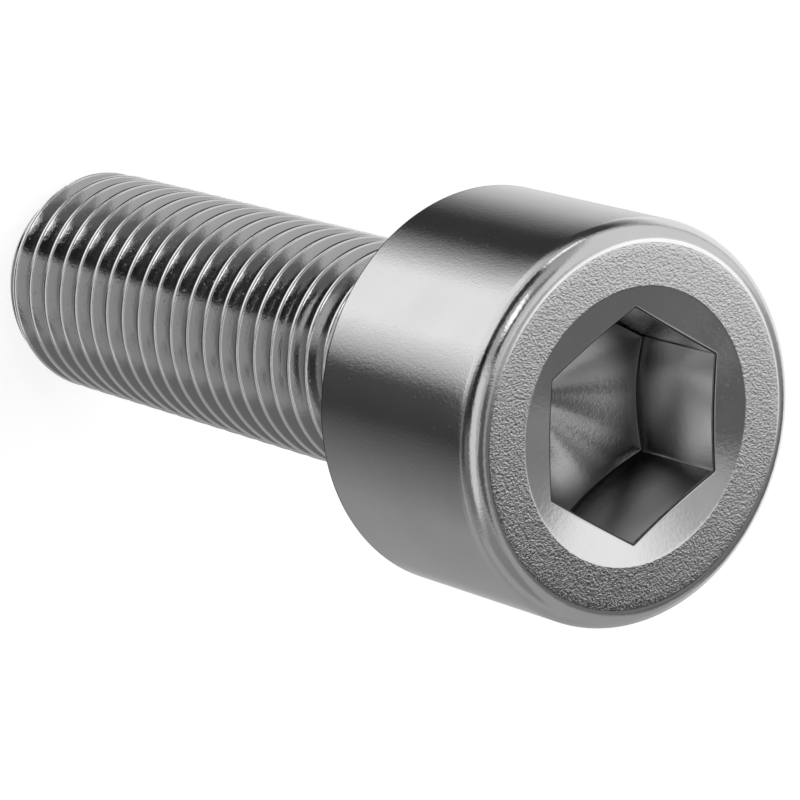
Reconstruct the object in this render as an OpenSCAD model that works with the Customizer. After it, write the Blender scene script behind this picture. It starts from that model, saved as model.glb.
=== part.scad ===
// Socket head cap screw, metric size M6 with a fine thread, turned and forged in one piece.
// It stands on its threaded end: +Z runs along the axis toward the head, and the origin
// is the centre of the bearing face under the head.

/* [Head] */
// Width across the round head
head_d = 10; // [9.6:0.1:10.6]
// Height of the head above its bearing face
head_h = 6; // [5.8:0.1:6.4]
// Radius of the rounding at the head's front edge
head_round = 0.55; // [0.3:0.05:0.7]
// Bevel at the head's back rim
rim_bevel = 0.08; // [0.04:0.02:0.2]

/* [Socket] */
// Width of the hexagon across its flats
socket_w = 5; // [4.6:0.1:5.2]
// Depth of the hexagon's corners below the face
socket_deep = 2.8; // [2.2:0.1:3]
// Slope of the drilled bottom, in degrees from level
bottom_slope = 30; // [20:1:31]
// Width across the shallow dish round the hexagon
dish_d = 6.8; // [6.4:0.1:7.4]
// Slope of the dish, in degrees from level
dish_slope = 10; // [6:1:14]

/* [Shank] */
// Width across the thread's crests
thread_d = 5.97; // [5.83:0.01:6]
// Rise of the thread in one turn
pitch = 0.75; // [0.7:0.05:1]
// Length of the shank under the head
shank_len = 18; // [12:1:20]
// Length of the chamfer at the tip
tip_len = 0.95; // [0.75:0.05:1.2]
// Radius of the fillet where the shank meets the head
neck_round = 0.25; // [0.15:0.05:0.35]
// Plain length between the head and the end of the thread
neck_len = 0.6; // [0.5:0.1:2]
// Turn of the thread about the axis, in degrees
thread_turn = 350; // [0:5:355]

/* [Hidden] */
$fn = 64;
// Straight lengths that make one turn of the thread
steps = 24;
// Overlap that makes each cut clean
slack = 0.03;
head_r = head_d / 2;
thread_r = thread_d / 2;
neck_r = thread_r + neck_round;
dish_r = dish_d / 2;
dish_deep = dish_r * tan(dish_slope);
corner_r = socket_w / 2 / cos(30);
// Lowest point of the socket's conical bottom
bottom_z = head_h - socket_deep - corner_r * tan(bottom_slope);
// Thread form: 60 degrees between the flanks, with flat crests an eighth of the pitch wide
thread_deep = 17 / 24 * pitch * cos(30);
groove_w = 7 / 8 * pitch;
root_w = groove_w - 2 * thread_deep * tan(30);
// Height that the groove's cutter stands out past the crests all along its straight lengths
over = thread_r / cos(180 / steps) - thread_r + slack / 2;
// The chamfer goes just below the thread's root
tip_r = thread_r - thread_deep - 0.1;

// Outline of the turned blank, as radius and height, without the socket
module blank_outline() {
    difference() {
        union() {
            square([head_r, head_h]);
            translate([0, -shank_len]) square([thread_r, shank_len + slack]);
            translate([0, -neck_round]) square([neck_r, neck_round + slack]);
        }
        neck_fillet();
        front_rounding();
        back_bevel();
        tip_chamfer();
        dish();
    }
}

// Hollow fillet between the shank and the bearing face
module neck_fillet() {
    translate([neck_r, -neck_round]) circle(neck_round);
}

// What the rounding takes off the head's front edge
module front_rounding() {
    translate([head_r - head_round, head_h - head_round])
        difference() {
            square(head_round + slack);
            circle(head_round);
        }
}

// What the bevel takes off the head's back rim
module back_bevel() {
    polygon([
        [head_r - rim_bevel - slack, -slack],
        [head_r + slack, -slack],
        [head_r + slack, rim_bevel + slack],
    ]);
}

// What the chamfer takes off the tip
module tip_chamfer() {
    polygon([
        [tip_r, -shank_len],
        [thread_r, -shank_len + tip_len],
        [thread_r + slack, -shank_len + tip_len],
        [thread_r + slack, -shank_len - slack],
        [tip_r, -shank_len - slack],
    ]);
}

// The shallow cone sunk into the head's face round the hexagon
module dish() {
    polygon([
        [0, head_h - dish_deep],
        [dish_r, head_h],
        [dish_r, head_h + slack],
        [0, head_h + slack],
    ]);
}

// The hexagonal socket: a prism that ends in the cone left by the drill
module socket() {
    wide_r = corner_r + slack;
    intersection() {
        translate([0, 0, bottom_z]) cylinder(h = head_h - bottom_z + slack, r = corner_r, $fn = 6);
        rotate_extrude()
            polygon([
                [0, bottom_z],
                [wide_r, bottom_z + wide_r * tan(bottom_slope)],
                [wide_r, head_h + 2 * slack],
                [0, head_h + 2 * slack],
            ]);
    }
}

// Section of the groove as radius and height, moved out of the metal by the distance given
function groove_section(out) = [
    [thread_r + over + out, -groove_w / 2 - over * tan(30)],
    [thread_r - thread_deep + out, -root_w / 2],
    [thread_r - thread_deep + out, root_w / 2],
    [thread_r + over + out, groove_w / 2 + over * tan(30)],
];

// The groove between the crests: its section swept along a right-hand helix from below
// the tip to the neck, where it runs out of the metal over its last half turn
module thread_groove() {
    top_z = -neck_len - pitch / 2;
    last = ceil((shank_len + top_z + pitch) / pitch * steps);
    fade = steps / 2;
    points = [
        for (i = [0 : last])
            let (
                turn = thread_turn + i * 360 / steps,
                z = top_z - (last - i) * pitch / steps,
                out = (thread_deep + slack) * max(0, i - last + fade) / fade
            )
            for (p = groove_section(out)) [p[0] * cos(turn), p[0] * sin(turn), z + p[1]]
    ];
    sides = [
        for (i = [0 : last - 1], j = [0 : 3])
            let (a = 4 * i + j, b = 4 * i + (j + 1) % 4)
            each [[a, a + 4, b], [b, a + 4, b + 4]]
    ];
    first_end = [[1, 2, 3], [0, 1, 3]];
    last_end = [for (face = first_end) [4 * last + face[2], 4 * last + face[1], 4 * last + face[0]]];
    polyhedron(points, concat(sides, first_end, last_end));
}

module screw() {
    color("silver")
        difference() {
            rotate_extrude() blank_outline();
            socket();
            thread_groove();
        }
}

screw();
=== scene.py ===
"""The looks of the socket head cap screw: its fine mesh, its steel, the studio and the camera."""
import math

import bmesh
import bpy
import numpy as np
from mathutils import Matrix, Vector


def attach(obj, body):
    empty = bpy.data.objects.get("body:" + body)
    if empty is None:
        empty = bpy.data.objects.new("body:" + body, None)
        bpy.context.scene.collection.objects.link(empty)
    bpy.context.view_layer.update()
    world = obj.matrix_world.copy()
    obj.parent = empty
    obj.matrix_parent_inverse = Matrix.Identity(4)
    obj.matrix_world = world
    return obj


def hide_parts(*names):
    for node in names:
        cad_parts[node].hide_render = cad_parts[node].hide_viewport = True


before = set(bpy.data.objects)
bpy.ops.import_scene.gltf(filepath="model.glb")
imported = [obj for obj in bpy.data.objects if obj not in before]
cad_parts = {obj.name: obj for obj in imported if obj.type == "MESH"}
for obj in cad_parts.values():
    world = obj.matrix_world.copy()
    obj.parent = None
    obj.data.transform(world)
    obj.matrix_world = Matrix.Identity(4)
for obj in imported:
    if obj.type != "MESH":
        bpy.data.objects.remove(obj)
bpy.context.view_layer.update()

MM = 0.001
MICRON = 1e-6
SIN_30 = 0.5
COS_30 = math.cos(math.radians(30))
TAN_30 = math.tan(math.radians(30))

# Sizes in millimetres, the same as in the part's source
HEAD_R = 5.0
HEAD_H = 6.0
HEAD_ROUND = 0.55
RIM_BEVEL = 0.08
SOCKET_HALF = 2.5
SOCKET_DEEP = 2.8
BOTTOM_SLOPE = TAN_30
DISH_R = 3.4
DISH_SLOPE = math.tan(math.radians(10))
THREAD_R = 2.985
PITCH = 0.75
SHANK_LEN = 18.0
TIP_LEN = 0.95
NECK_ROUND = 0.25
NECK_LEN = 0.6
THREAD_TURN = 350.0
SOURCE_STEPS = 24
SLACK = 0.03
# Part of a turn over which the groove runs out of the metal
RUN_OUT = 0.5

THREAD_DEEP = 17 / 24 * PITCH * COS_30
GROOVE_W = 7 / 8 * PITCH
ROOT_W = GROOVE_W - 2 * THREAD_DEEP * TAN_30
ROOT_R = THREAD_R - THREAD_DEEP
# The chamfer of the tip goes just below the thread's root
TIP_R = ROOT_R - 0.1
TIP_SLOPE = (THREAD_R - TIP_R) / TIP_LEN
CORNER_R = SOCKET_HALF / COS_30
BOTTOM_Z = HEAD_H - SOCKET_DEEP - CORNER_R * BOTTOM_SLOPE
TOP_Z = -NECK_LEN - PITCH / 2
LAST_STEP = math.ceil((SHANK_LEN + TOP_Z + PITCH) / PITCH * SOURCE_STEPS)
# Angle at which the groove runs out under the head
GROOVE_END = (THREAD_TURN + LAST_STEP * 360 / SOURCE_STEPS) % 360

# Sizes of the finer detail, in millimetres: first the crest's edges toward the head and the tip
CREST_ROUND = 0.095
CREST_ROUND_BACK = 0.06
ROOT_ROUND = 0.05
MOUTH_BEVEL = 0.05
# Depth from the dish to the first ring of the socket's walls
LIP_DROP = 0.04
CORNER_ROUND = 0.07
FLOOR_ROUND = 0.06
# Width of the painted shade line at the head's back rim, and its distance from the bevel
EDGE_LINE = 0.03
EDGE_LINE_GAP = 0.01
# Hollow of the socket's cone, and the blunt end at its middle
CONE_BOW = 0.04
CONE_END = 0.01
# Distances of the rings that keep an edge crisp, from the edge
CLOSE = 0.006
NEAR = 0.02
FAR = 0.03

# A crest's edge toward the tip and its edge toward the head, as shares of their rounding:
# away from the groove, and in toward the axis
BACK_EDGE = ((1, 0), (0.15, 0.28), (-0.5, COS_30))
HEAD_EDGE = ((-0.5, COS_30), (-0.18, 0.43), (0.3, 0.14), (1, 0))
# Rows on the edge toward the tip that get darker steel: painted shade on the crest's back edge
BACK_ROWS = (1, 2)
# Shares of the root's rounding: cut off each side, and filled up at the middle
ROOT_CUT = 0.35
ROOT_FILL = 0.1

# Columns round the axis, closer together beside the hexagon's corners
HALF_SECTOR = [0, 0.5, 1, 1.7, 3, 5, 7.5, 10, 12.5, 15, 17.5, 20, 22.5, 25, 27.5, 30]
SECTOR = HALF_SECTOR + [60 - a for a in reversed(HALF_SECTOR[1:-1])]
ANGLES = [60 * i + a for i in range(6) for a in SECTOR]

SIDE, RIM, GRAIN, DISH, WALL, CONE, THREAD, CREST_BACK_SHADE, SHADE_LINE = range(9)


class Skin:
    """Collects rings of points, all with the same columns, and joins each to the one before."""

    def __init__(self, angles):
        self.turns = np.radians(np.array(angles + [angles[0] + 360.0]))
        self.points = []
        self.faces = []
        self.looks = []
        self.last = None

    def ring(self, radius, z, look):
        """Adds a ring; radius and z are one number each or one for each column."""
        count = len(self.turns)
        radii = np.broadcast_to(np.asarray(radius, float), count)
        heights = np.broadcast_to(np.asarray(z, float), count)
        first = len(self.points)
        for turn, r, h in zip(self.turns, radii, heights):
            self.points.append((r * math.cos(turn) * MM, r * math.sin(turn) * MM, h * MM))
        if self.last is not None:
            for j in range(count - 1):
                a, b = self.last + j, first + j
                self.faces.append((a, a + 1, b + 1, b))
                self.looks.append(look)
        self.last = first

    def restart(self):
        """Begins a new surface, so that the next ring joins nothing."""
        self.last = None


def hexagon(turns, half, corner_round):
    """Radius of a hexagon with a corner on +X and slightly rounded corners."""
    sector = np.abs((np.degrees(turns) % 60) - 30)
    edge = half / np.cos(np.radians(sector))
    # A circle that touches both sides cuts the corner
    centre = (half - corner_round) / COS_30
    off = np.radians(30 - sector)
    aside = centre * np.sin(off)
    arc = centre * np.cos(off) + np.sqrt(np.maximum(corner_round ** 2 - aside ** 2, 0))
    return np.where(np.abs(aside) < corner_round * SIN_30, np.minimum(edge, arc), edge)


def outside_rings(skin):
    """The head from the neck's fillet over the back rim, the side and the rounding to the dish."""
    neck_r = THREAD_R + NECK_ROUND
    for t in np.radians([0, 18, 36, 54, 72, 90]):
        skin.ring(neck_r - NECK_ROUND * math.cos(t), -NECK_ROUND + NECK_ROUND * math.sin(t), SIDE)
    # The bearing face
    for r in (3.5, 4.0, 4.5):
        skin.ring(r, 0, SIDE)
    # The bevel of the back rim, as steps out from the side and up, and the painted shade line above it
    line_z = RIM_BEVEL + EDGE_LINE_GAP
    bevel = (
        (-RIM_BEVEL - NEAR, 0), (-RIM_BEVEL, CLOSE), (-RIM_BEVEL / 2, RIM_BEVEL / 2),
        (-CLOSE, RIM_BEVEL), (0, line_z),
    )
    for step, z in bevel:
        skin.ring(HEAD_R + step, z, SIDE)
    skin.ring(HEAD_R, line_z + EDGE_LINE, SHADE_LINE)
    centre_r = HEAD_R - HEAD_ROUND
    centre_z = HEAD_H - HEAD_ROUND
    for z in np.linspace(0.6, centre_z, 7):
        skin.ring(HEAD_R, z, SIDE)
    # The last of the rounding, beside the face, is polished and painted lighter, a painted highlight for its
    # bright ring, from this angle in radians
    polished_from = 1.42
    for t in np.radians(np.linspace(0, 90, 19)[1:]):
        look = SIDE if t < polished_from else RIM
        skin.ring(centre_r + HEAD_ROUND * math.cos(t), centre_z + HEAD_ROUND * math.sin(t), look)
    for r in [*np.linspace(centre_r, DISH_R + FAR, 6)[1:], DISH_R + CLOSE]:
        skin.ring(r, HEAD_H, GRAIN)


def socket_rings(skin):
    """The dish, the socket's mouth and walls, and the cone at its bottom."""
    skin.ring(DISH_R - NEAR, HEAD_H - NEAR * DISH_SLOPE, DISH)
    # The dish goes over from its round rim to the hexagon
    mouth = hexagon(skin.turns, SOCKET_HALF, CORNER_ROUND)
    outer = mouth * (1 + MOUTH_BEVEL / SOCKET_HALF)
    for t in [*np.linspace(0.1, 0.96, 6), 1]:
        r = DISH_R + (outer - DISH_R) * t
        skin.ring(r, HEAD_H - (DISH_R - r) * DISH_SLOPE, DISH)
    lip_z = HEAD_H - (DISH_R - outer) * DISH_SLOPE
    # The lip: a thin bevel, a painted shade line and the start of the wall, as share across and drop
    for share, drop, look in ((0.15, 0.004, DISH), (0.8, 0.02, SHADE_LINE), (1.0, LIP_DROP, WALL)):
        skin.ring(outer + (mouth - outer) * share, lip_z - drop, look)
    wall_top = lip_z - LIP_DROP
    wall_end = BOTTOM_Z + mouth * BOTTOM_SLOPE + FLOOR_ROUND
    for t in [0.01, *np.linspace(0, 1, 12)[1:]]:
        skin.ring(mouth, wall_top + (wall_end - wall_top) * t, WALL)
    # A small hollow rounding leads from the walls to the cone
    foot_r = mouth - FLOOR_ROUND * COS_30
    for t in (0.35, 0.7, 1.0):
        r = mouth + (foot_r - mouth) * t
        lift = FLOOR_ROUND * (1 - t) ** 2 * 0.8
        skin.ring(r, BOTTOM_Z + r * BOTTOM_SLOPE + lift, CONE)
    for t in np.linspace(1, 0, 15)[1:-1]:
        bow = CONE_BOW * 4 * t * (1 - t)
        skin.ring(foot_r * t, BOTTOM_Z + foot_r * t * BOTTOM_SLOPE - bow, CONE)
    skin.ring(0.0, BOTTOM_Z + CONE_END, CONE)


def tip_cone(z):
    """Radius of the tip's chamfer at a height."""
    return TIP_R + (z + SHANK_LEN) * TIP_SLOPE


def groove_rows(centre, lift):
    """Height and radius of the points across one groove, from its upper crest edge down. centre is
    its height in each column, and lift is how far the groove is raised out of the metal there."""
    deep = np.clip(THREAD_DEEP - lift, 0, None)
    root_r = THREAD_R - deep
    # How far each flank reaches along the axis from its root: to the crest, or to the tip's cone
    upper_root = centre + ROOT_W / 2
    lower_root = centre - ROOT_W / 2
    reach = deep * TAN_30
    upper = np.clip((tip_cone(upper_root) - root_r) / (1 / TAN_30 - TIP_SLOPE), 0, reach)
    lower = np.clip((tip_cone(lower_root) - root_r) / (1 / TAN_30 + TIP_SLOPE), 0, reach)
    upper_share = upper / (THREAD_DEEP * TAN_30)
    lower_share = lower / (THREAD_DEEP * TAN_30)
    back_cut = CREST_ROUND_BACK * TAN_30 * upper_share
    head_cut = CREST_ROUND * TAN_30 * lower_share
    root_cut = ROOT_ROUND * ROOT_CUT * lower_share
    heights, radii = [], []

    def add(z, r):
        heights.append(z)
        radii.append(np.minimum(r, tip_cone(z)))

    for away, inward in BACK_EDGE:
        add(upper_root + upper + back_cut * away, root_r + upper / TAN_30 - back_cut * inward)
    add(upper_root + root_cut * SIN_30, root_r + root_cut * COS_30)
    add(upper_root - ROOT_W / 4, root_r + root_cut * ROOT_FILL)
    add(lower_root + ROOT_W / 4, root_r + root_cut * ROOT_FILL)
    add(lower_root - root_cut * SIN_30, root_r + root_cut * COS_30)
    for share in (0.14, 0.55):
        add(lower_root - lower * share, root_r + share * lower / TAN_30)
    for away, inward in HEAD_EDGE:
        add(lower_root - lower - head_cut * away, root_r + lower / TAN_30 - head_cut * inward)
    return np.array(heights), np.array(radii)


def shank_rings(skin):
    """The thread, its rows following the helix, from the neck down over the tip."""
    turns = np.degrees(skin.turns)
    # Part of a turn from each column on to the groove's end
    left = 1 - (turns - turns[0]) / 360
    grooves = []
    for k in range(math.ceil((SHANK_LEN + TOP_Z) / PITCH) + 2):
        turn = left + k
        lift = (THREAD_DEEP + SLACK) * np.clip(1 - turn / RUN_OUT, 0, None)
        grooves.append(groove_rows(TOP_Z - PITCH * turn, lift))
    first_heights = grooves[0][0]
    start_z = first_heights[0][-1] + 0.05
    skin.ring(THREAD_R, -NECK_ROUND, THREAD)
    skin.ring(THREAD_R, (start_z - NECK_ROUND) / 2, THREAD)
    skin.ring(THREAD_R, start_z, THREAD)
    # Rows of the wedge that opens over the first turn
    for z_end in first_heights[:, -1]:
        skin.ring(THREAD_R, start_z - left * (start_z - z_end), THREAD)
    # Points below the end of the tip, or hardly above it, are put on its rim
    rim_z = -SHANK_LEN + 0.012
    for heights, radii in grooves:
        for i, (z, r) in enumerate(zip(heights, radii)):
            low = z < rim_z
            # The crest's edge toward the tip gets painted shade
            look = CREST_BACK_SHADE if i in BACK_ROWS else THREAD
            skin.ring(np.where(low, TIP_R, r), np.where(low, -SHANK_LEN, z), look)
    for r in (TIP_R - 0.4, TIP_R - 1.2, 0.6, 0.0):
        skin.ring(r, -SHANK_LEN, SIDE)


def rolled(angles, start):
    """The same column angles, beginning with the one nearest to start."""
    k = min(range(len(angles)), key=lambda i: abs(angles[i] - start))
    return [a if a >= angles[k] else a + 360 for a in angles[k:] + angles[:k]]


def add_object(name, data):
    """A new object in the scene."""
    made = bpy.data.objects.new(name, data)
    bpy.context.scene.collection.objects.link(made)
    return made


skin = Skin(rolled(ANGLES, GROOVE_END))
outside_rings(skin)
socket_rings(skin)
skin.restart()
shank_rings(skin)

mesh = bpy.data.meshes.new("screw_body")
mesh.from_pydata(skin.points, [], skin.faces)
mesh.polygons.foreach_set("material_index", skin.looks)
# Points that fall together are joined, so that the whole is one closed surface
work = bmesh.new()
work.from_mesh(mesh)
bmesh.ops.remove_doubles(work, verts=work.verts, dist=2e-7)
bmesh.ops.dissolve_degenerate(work, dist=1e-7, edges=work.edges)
bmesh.ops.recalc_face_normals(work, faces=work.faces)
for face in work.faces:
    face.smooth = True
work.to_mesh(mesh)
work.free()
mesh.set_sharp_from_angle(angle=math.radians(32))
screw = add_object("screw_body", mesh)
flat = screw.modifiers.new("flat_faces", "WEIGHTED_NORMAL")
flat.keep_sharp = True
flat.weight = 60


class Nodes:
    """Short calls that add nodes to one material or world."""

    def __init__(self, tree):
        self.tree = tree
        tree.nodes.clear()

    def new(self, kind, **values):
        node = self.tree.nodes.new(kind)
        for key, value in values.items():
            setattr(node, key, value)
        return node

    def set(self, socket, value):
        """Gives a socket a number, or links another node's output to it."""
        if isinstance(value, bpy.types.NodeSocket):
            self.tree.links.new(value, socket)
        else:
            socket.default_value = value

    def fill(self, sockets, values):
        for socket, value in zip(sockets, values):
            self.set(socket, value)

    def math(self, kind, *values):
        node = self.new("ShaderNodeMath", operation=kind)
        self.fill(node.inputs, values)
        return node.outputs[0]

    def ease(self, value, start, end, low=0.0, high=1.0):
        """Goes smoothly from low to high as value goes from start to end."""
        node = self.new("ShaderNodeMapRange", interpolation_type="SMOOTHSTEP")
        self.fill(node.inputs[:5], (value, start, end, low, high))
        return node.outputs[0]

    def band(self, value, start, end, soft):
        """Is 1 between start and end and 0 outside, with edges as wide as soft."""
        half = soft / 2
        rise = self.ease(value, start - half, start + half)
        fall = self.ease(value, end - half, end + half, 1.0, 0.0)
        return self.math("MULTIPLY", rise, fall)

    def mix(self, factor, a, b):
        """Mixes two numbers."""
        node = self.new("ShaderNodeMix", data_type="FLOAT")
        self.fill((node.inputs[0], node.inputs[2], node.inputs[3]), (factor, a, b))
        return node.outputs[0]

    def split(self, vector):
        """The three parts of a vector."""
        node = self.new("ShaderNodeSeparateXYZ")
        self.set(node.inputs[0], vector)
        return node.outputs

    def axis_distance(self, where):
        """Distance of a point from the screw's axis, in millimetres."""
        flat = self.new("ShaderNodeVectorMath", operation="MULTIPLY")
        self.set(flat.inputs[0], where)
        flat.inputs[1].default_value = (1 / MM, 1 / MM, 0)
        length = self.new("ShaderNodeVectorMath", operation="LENGTH")
        self.set(length.inputs[0], flat.outputs[0])
        return length.outputs["Value"]

    def noise(self, where, size, detail, rough=0.5):
        """Noise whose blotches have a size in millimetres."""
        node = self.new("ShaderNodeTexNoise")
        self.set(node.inputs["Vector"], where)
        node.inputs["Scale"].default_value = 1 / (size * MM)
        node.inputs["Detail"].default_value = detail
        node.inputs["Roughness"].default_value = rough
        return node.outputs["Fac"]

    def bump(self, height, depth, base=None):
        """A bent normal; depth is in micrometres."""
        node = self.new("ShaderNodeBump")
        node.inputs["Strength"].default_value = 1.0
        node.inputs["Distance"].default_value = depth * MICRON
        self.set(node.inputs["Height"], height)
        if base is not None:
            self.set(node.inputs["Normal"], base)
        return node.outputs[0]


def new_material(name):
    """An empty material and the calls that fill it."""
    material = bpy.data.materials.new(name)
    material.use_nodes = True
    return material, Nodes(material.node_tree)


# Sizes of the broad cloudiness and of the tiny pits in the steel, in millimetres
CLOUD_SIZE = 2.2
PIT_SIZE = 0.07
# How far the clouds change the tone, as a share, and the roughness
TONE_SPREAD = 0.03
ROUGH_SPREAD = 0.03
# Heights between which the painted shade at the foot of the socket's walls sets in, and those where it fades
FOOT_SHADE_START = (2.45 * MM, 3.0 * MM)
FOOT_SHADE_FADE = (3.1 * MM, 4.3 * MM)
# Radii between which the flanks' painted shade gives way to the crest's tone
CREST_TONE = (THREAD_R - 0.075, THREAD_R - 0.035)


def steel(name, grain_size, grain_depth, fine_depth, rough, tone=0.70, painted_root_shade=None, painted_foot_shade=0.0, pit_depth=0.0):
    """Bare steel. grain_size is in millimetres, and the depths are in micrometres. The pair of root
    tones, at the thread's root and on its flanks near the crest, paint shade into the grooves. The foot
    share paints shade over the lower end of the socket's walls and the outer part of its cone."""
    material, nodes = new_material(name)
    where = nodes.new("ShaderNodeTexCoord").outputs["Object"]
    grain = nodes.noise(where, grain_size, 2.5, 0.57)
    fine = nodes.noise(where, grain_size * 0.5, 2.0, 0.6)
    clouds = nodes.noise(where, CLOUD_SIZE, 3.0, 0.6)
    normal = nodes.bump(grain, grain_depth)
    normal = nodes.bump(fine, fine_depth, base=normal)
    if pit_depth:
        pits = nodes.ease(nodes.noise(where, PIT_SIZE, 0.0), 0.75, 0.85, 1.0, 0.0)
        normal = nodes.bump(pits, pit_depth, base=normal)
    shade = nodes.ease(clouds, 0.3, 0.7, tone * (1 - TONE_SPREAD), tone * (1 + TONE_SPREAD))
    # Painted shade: the thread darker on its flanks and at its root than at its crest
    if painted_root_shade:
        radius = nodes.axis_distance(where)
        flank_painted_shade = nodes.ease(radius, ROOT_R, THREAD_R - 0.02, painted_root_shade[0], painted_root_shade[1])
        shade = nodes.mix(nodes.ease(radius, *CREST_TONE), flank_painted_shade, shade)
    # Painted shade: the socket's walls darker at their foot and its cone darker toward its rim
    if painted_foot_shade:
        height = nodes.split(where)[2]
        rise = nodes.ease(height, *FOOT_SHADE_START)
        fall = nodes.ease(height, *FOOT_SHADE_FADE, 1.0, 0.0)
        dark = nodes.math("MULTIPLY", nodes.math("MULTIPLY", rise, fall), painted_foot_shade)
        shade = nodes.math("MULTIPLY", shade, nodes.math("SUBTRACT", 1.0, dark))
    colour = nodes.new("ShaderNodeCombineColor")
    nodes.fill(colour.inputs, (shade, shade, shade))
    half = ROUGH_SPREAD / 2
    shader = nodes.new("ShaderNodeBsdfPrincipled")
    shader.inputs["Metallic"].default_value = 1.0
    nodes.set(shader.inputs["Base Color"], colour.outputs[0])
    nodes.set(shader.inputs["Roughness"], nodes.ease(clouds, 0.3, 0.7, rough - half, rough + half))
    nodes.set(shader.inputs["Normal"], normal)
    nodes.set(nodes.new("ShaderNodeOutputMaterial").inputs["Surface"], shader.outputs[0])
    return material


# In the order of the looks from SIDE to SHADE_LINE
for material in (
    steel("turned_steel", 0.09, 2.6, 1.2, 0.12, pit_depth=1.2),
    # Polished steel, painted lighter as a highlight on the rounding's last strip
    steel("rim_highlight_steel", 0.12, 1.2, 0.5, 0.10, tone=0.86),
    steel("forged_steel", 0.078, 4.7, 1.5, 0.08, pit_depth=3.0),
    steel("dish_steel", 0.14, 1.6, 0.7, 0.11, pit_depth=0.8),
    # The socket's walls and cone, with painted shade at their foot
    steel("wall_steel", 0.16, 1.8, 0.7, 0.19, tone=0.9, painted_foot_shade=0.7),
    steel("cone_steel", 0.11, 2.2, 1.0, 0.17, tone=0.5, painted_foot_shade=0.85),
    # The thread's steel, with painted shade in its grooves
    steel("thread_steel", 0.09, 1.5, 0.7, 0.10, tone=0.80, painted_root_shade=(0.40, 0.45), pit_depth=1.6),
    # Painted shade for the crest's edge toward the tip
    steel("crest_back_shade_steel", 0.09, 1.0, 0.5, 0.16, tone=0.3),
    # Near-black steel for the painted shade lines at the back rim and the socket's lip
    steel("shade_line_steel", 0.10, 1.0, 0.5, 0.3, tone=0.05),
):
    mesh.materials.append(material)

# The floor: white to the camera and in the metal, darker only where the screw shades it.
# Half its width is in metres, and the glow is what lifts the paper to white.
FLOOR_HALF = 2.0
FLOOR_Z = -SHANK_LEN * MM
PAPER = 0.85
GLOW = 0.66
floor_mesh = bpy.data.meshes.new("floor")
corners = [(x * FLOOR_HALF, y * FLOOR_HALF, FLOOR_Z) for x, y in ((-1, -1), (1, -1), (1, 1), (-1, 1))]
floor_mesh.from_pydata(corners, [], [(0, 1, 2, 3)])
floor = add_object("floor", floor_mesh)
paper, nodes = new_material("white_paper")
path = nodes.new("ShaderNodeLightPath")
seen = nodes.math("MAXIMUM", path.outputs["Is Camera Ray"], path.outputs["Is Glossy Ray"])
seen = nodes.math("MAXIMUM", seen, path.outputs["Is Transmission Ray"])
diffuse = nodes.new("ShaderNodeBsdfDiffuse")
diffuse.inputs["Color"].default_value = (PAPER, PAPER, PAPER, 1)
glow = nodes.new("ShaderNodeEmission")
nodes.set(glow.inputs["Strength"], nodes.math("MULTIPLY", seen, GLOW))
both = nodes.new("ShaderNodeAddShader")
nodes.fill(both.inputs, (diffuse.outputs[0], glow.outputs[0]))
nodes.set(nodes.new("ShaderNodeOutputMaterial").inputs["Surface"], both.outputs[0])
floor_mesh.materials.append(paper)

# Directions in the studio are given by azimuth from the camera's side and by height, in degrees.
# The shift puts the azimuth's jump, from 120 to -240, where no panel lies across it.
STUDIO_TURN = -49.6
JUMP_SHIFT = 60
# Height of a flag that lies on the floor, in millimetres, and how many sides each ring has
FLAG_LIFT = 0.05
FLAG_SIDES = 96
# Share of its azimuth by which a ray points away from the spot on the head's side that sends it
LEAD_RATE = 0.55


def bearings(nodes, direction):
    """Azimuth and height of a direction in degrees, from the camera's side."""
    turn = nodes.new("ShaderNodeVectorRotate", rotation_type="Z_AXIS")
    nodes.set(turn.inputs["Vector"], direction)
    turn.inputs["Angle"].default_value = math.radians(JUMP_SHIFT - STUDIO_TURN)
    x, y, z = nodes.split(turn.outputs[0])
    azimuth = nodes.math("MULTIPLY", nodes.math("ARCTAN2", y, x), math.degrees(1))
    height = nodes.math("MULTIPLY", nodes.math("ARCSINE", z), math.degrees(1))
    return nodes.math("SUBTRACT", azimuth, JUMP_SHIFT), height


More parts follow.
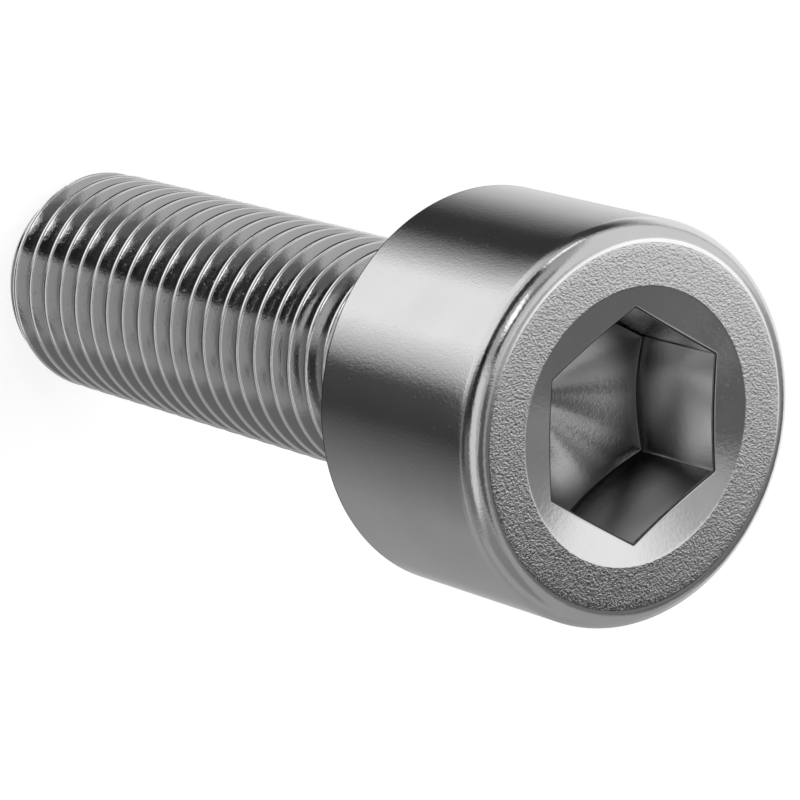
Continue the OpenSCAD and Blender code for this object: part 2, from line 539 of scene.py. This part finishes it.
def flag_ring(name, inner, outer, darkness, low=FLAG_LIFT, high=FLAG_LIFT):
    """A ring of graded black gauze that the metal alone sees, from the inner radius at the low height
    above the floor to the outer radius at the high one, in millimetres. darkness lists (azimuth,
    how dense), where azimuth is that of a ray that the head's side sends there."""
    turns = [2 * math.pi * i / FLAG_SIDES for i in range(FLAG_SIDES)]
    points = [(math.cos(a) * r * MM, math.sin(a) * r * MM, FLOOR_Z + z * MM)
              for r, z in ((inner, low), (outer, high)) for a in turns]
    after = [(i + 1) % FLAG_SIDES for i in range(FLAG_SIDES)]
    faces = [(i, j, FLAG_SIDES + j, FLAG_SIDES + i) for i, j in enumerate(after)]
    ring_mesh = bpy.data.meshes.new(name)
    ring_mesh.from_pydata(points, [], faces)
    ring = add_object(name, ring_mesh)
    # Only mirror rays meet it
    ring.visible_camera = False
    ring.visible_diffuse = False
    ring.visible_shadow = False
    ring.visible_transmission = False
    ring.visible_volume_scatter = False
    gauze, nodes = new_material(name + "_gauze")
    where = nodes.new("ShaderNodeTexCoord").outputs["Object"]
    azimuth = nodes.math("WRAP", bearings(nodes, where)[0], 180.0, -180.0)
    # Near the screw a ray lands short of its own azimuth, because it starts from the head's side
    sine = nodes.math("SINE", nodes.math("MULTIPLY", azimuth, math.radians(LEAD_RATE)))
    aside = nodes.math("MULTIPLY", sine, math.degrees(HEAD_R))
    azimuth = nodes.math("ADD", azimuth, nodes.math("DIVIDE", aside, nodes.axis_distance(where)))
    ramp = nodes.new("ShaderNodeValToRGB")
    stops = ramp.color_ramp.elements
    while len(stops) > 1:
        stops.remove(stops[0])
    for i, (at, dark) in enumerate(darkness):
        share = (at + 180) / 360
        stop = stops[0] if i == 0 else stops.new(share)
        stop.position = share
        stop.color = (dark, dark, dark, 1)
    nodes.set(ramp.inputs[0], nodes.math("DIVIDE", nodes.math("ADD", azimuth, 180.0), 360.0))
    clear = nodes.new("ShaderNodeBsdfTransparent")
    black = nodes.new("ShaderNodeEmission")
    black.inputs["Strength"].default_value = 0.0
    blend = nodes.new("ShaderNodeMixShader")
    nodes.fill(blend.inputs, (ramp.outputs[0], clear.outputs[0], black.outputs[0]))
    nodes.set(nodes.new("ShaderNodeOutputMaterial").inputs["Surface"], blend.outputs[0])
    ring_mesh.materials.append(gauze)


flag_ring("near_flags", 4.5, 27, [
    (-180, 0.22), (-150, 0.32), (-132, 0.46), (-112, 0.82), (-100, 0.96), (-80, 0.96), (-68, 0.66),
    (-52, 0.03), (-18, 0.02), (-1, 0.5), (10, 0.93), (34, 0.95), (60, 0.82), (90, 0.69), (148, 0.67),
    (164, 0.55), (180, 0.2)])
flag_ring("middle_flags", 27, 46, [
    (-180, 0.1), (-124, 0.1), (-112, 0.6), (-102, 0.95), (-80, 0.95), (-66, 0.4), (-56, 0.1),
    (-24, 0.05), (0, 0.2), (16, 0.9), (34, 0.95), (55, 0.8), (75, 0.65), (130, 0.66), (152, 0.62),
    (172, 0.45), (180, 0.2)])
flag_ring("broad_flags", 46, 88, [
    (-180, 0.1), (-124, 0.1), (-112, 0.6), (-102, 0.95), (-80, 0.95), (-66, 0.4), (-60, 0.3),
    (-50, 0.1), (-14, 0.1), (0, 0.4), (12, 0.8), (30, 0.85), (60, 0.6), (90, 0.66), (130, 0.66),
    (152, 0.62), (172, 0.4), (180, 0.1)])
flag_ring("far_flags", 88, 1900, [
    (-180, 0.1), (-124, 0.1), (-112, 0.6), (-102, 0.95), (-88, 0.95), (-74, 0.5), (-60, 0.45),
    (-40, 0.3), (-28, 0.1), (-16, 0.1), (-4, 0.8), (10, 0.95), (34, 0.95), (55, 0.72), (130, 0.66),
    (152, 0.6), (180, 0.1)])
# A hung strip, which only the head's rounding sees, shades it above the side's highlight
flag_ring("hung_flag", 26, 26, [
    (-180, 0.0), (-20, 0.0), (-12, 0.95), (16, 0.95), (28, 0.75), (62, 0.7), (76, 0.0),
    (180, 0.0)], low=23.3, high=32.5)

# The studio above the floor: its light where no panel lies, and soft panels laid over each other,
# as lowest and highest azimuth, lowest and highest elevation, softness of the edges, brightness
OPEN_LIGHT = 0.5
PANELS = [
    (-160, -86, 8, 100, 7, 1.0),
    (-179.4, -160, 36, 100, 3, 1.27),
    (-180, -140, 60, 90, 6, 0.58),
    (-165, -122, -12, 3, 6, 1.3),
    (-84, -14, 18, 50, 8, 0.57),
    (-84, -64, -4, 8, 4, 1.8),
    (-9, 66, -4, 22, 4, 0.85),
    (-62, -9, -4, 22, 4, 0.06),
    (76, 122, 22, 54, 8, 0.33),
    (-36, -6, 27, 46, 6, 0.55),
    (-53, -32, 36, 56, 4, 2.0),
    (-8, 66, 27, 53, 5, 1.0),
    (-20, 50, 53, 66.6, 2, 0.66),
    (48, 76, 50, 58.5, 3, 0.6),
    (-85, -56, 48, 60, 4, 0.26),
    (-62, -30, 55.5, 64.5, 3, 0.02),
    (-34, -15, 50, 66.6, 3, 0.02),
    (-84, -13, 67.6, 86, 3, 0.8),
    (-84, -34, 65.5, 73, 3, 0.8),
    (-84, -58, 60.5, 71, 3, 0.78),
    (-13, 122, 67.6, 90, 3, 0.14),
    (48, 122, 61, 72, 3, 0.14),
    (-180, -168, 16, 40, 10, 0.32),
    (-206, -179.4, 22, 58, 3, 0.2),
    (-188, -179.4, 43, 58, 3, 0.02),
    (-206, -178, 56, 74, 14, 0.16),
    (-196, -171, -1, 20, 6, 0.18),
    (-170, -152, 41, 55, 8, 1.4),
]
world = bpy.data.worlds.new("studio")
bpy.context.scene.world = world
world.use_nodes = True
nodes = Nodes(world.node_tree)
azimuth, height = bearings(nodes, nodes.new("ShaderNodeTexCoord").outputs["Generated"])
light = OPEN_LIGHT
for first, last, low, high, soft, strength in PANELS:
    mask = nodes.math("MULTIPLY", nodes.band(azimuth, first, last, soft), nodes.band(height, low, high, soft))
    light = nodes.mix(mask, light, strength)
back = nodes.new("ShaderNodeBackground")
nodes.set(back.inputs["Strength"], light)
nodes.set(nodes.new("ShaderNodeOutputWorld").inputs["Surface"], back.outputs[0])

# The camera stands where a fit to the photo's outlines puts it
camera_data = bpy.data.cameras.new("camera")
camera_data.sensor_width = 36.0
camera_data.lens = 214.3
camera_data.clip_start = 0.005
camera_data.clip_end = 20.0
camera = add_object("camera", camera_data)
right = Vector((-0.69235, 0.40097, 0.59991))
up = Vector((-0.60130, -0.78018, -0.17249))
ahead = Vector((-0.39888, 0.48015, -0.78125))
place = Vector((48.705, -57.166, 91.016)) * MM
camera.matrix_world = Matrix((
    (right.x, up.x, -ahead.x, place.x),
    (right.y, up.y, -ahead.y, place.y),
    (right.z, up.z, -ahead.z, place.z),
    (0, 0, 0, 1),
))
bpy.context.scene.camera = camera
bpy.context.scene.view_settings.view_transform = "Standard"

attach(screw, "root")
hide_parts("screw")
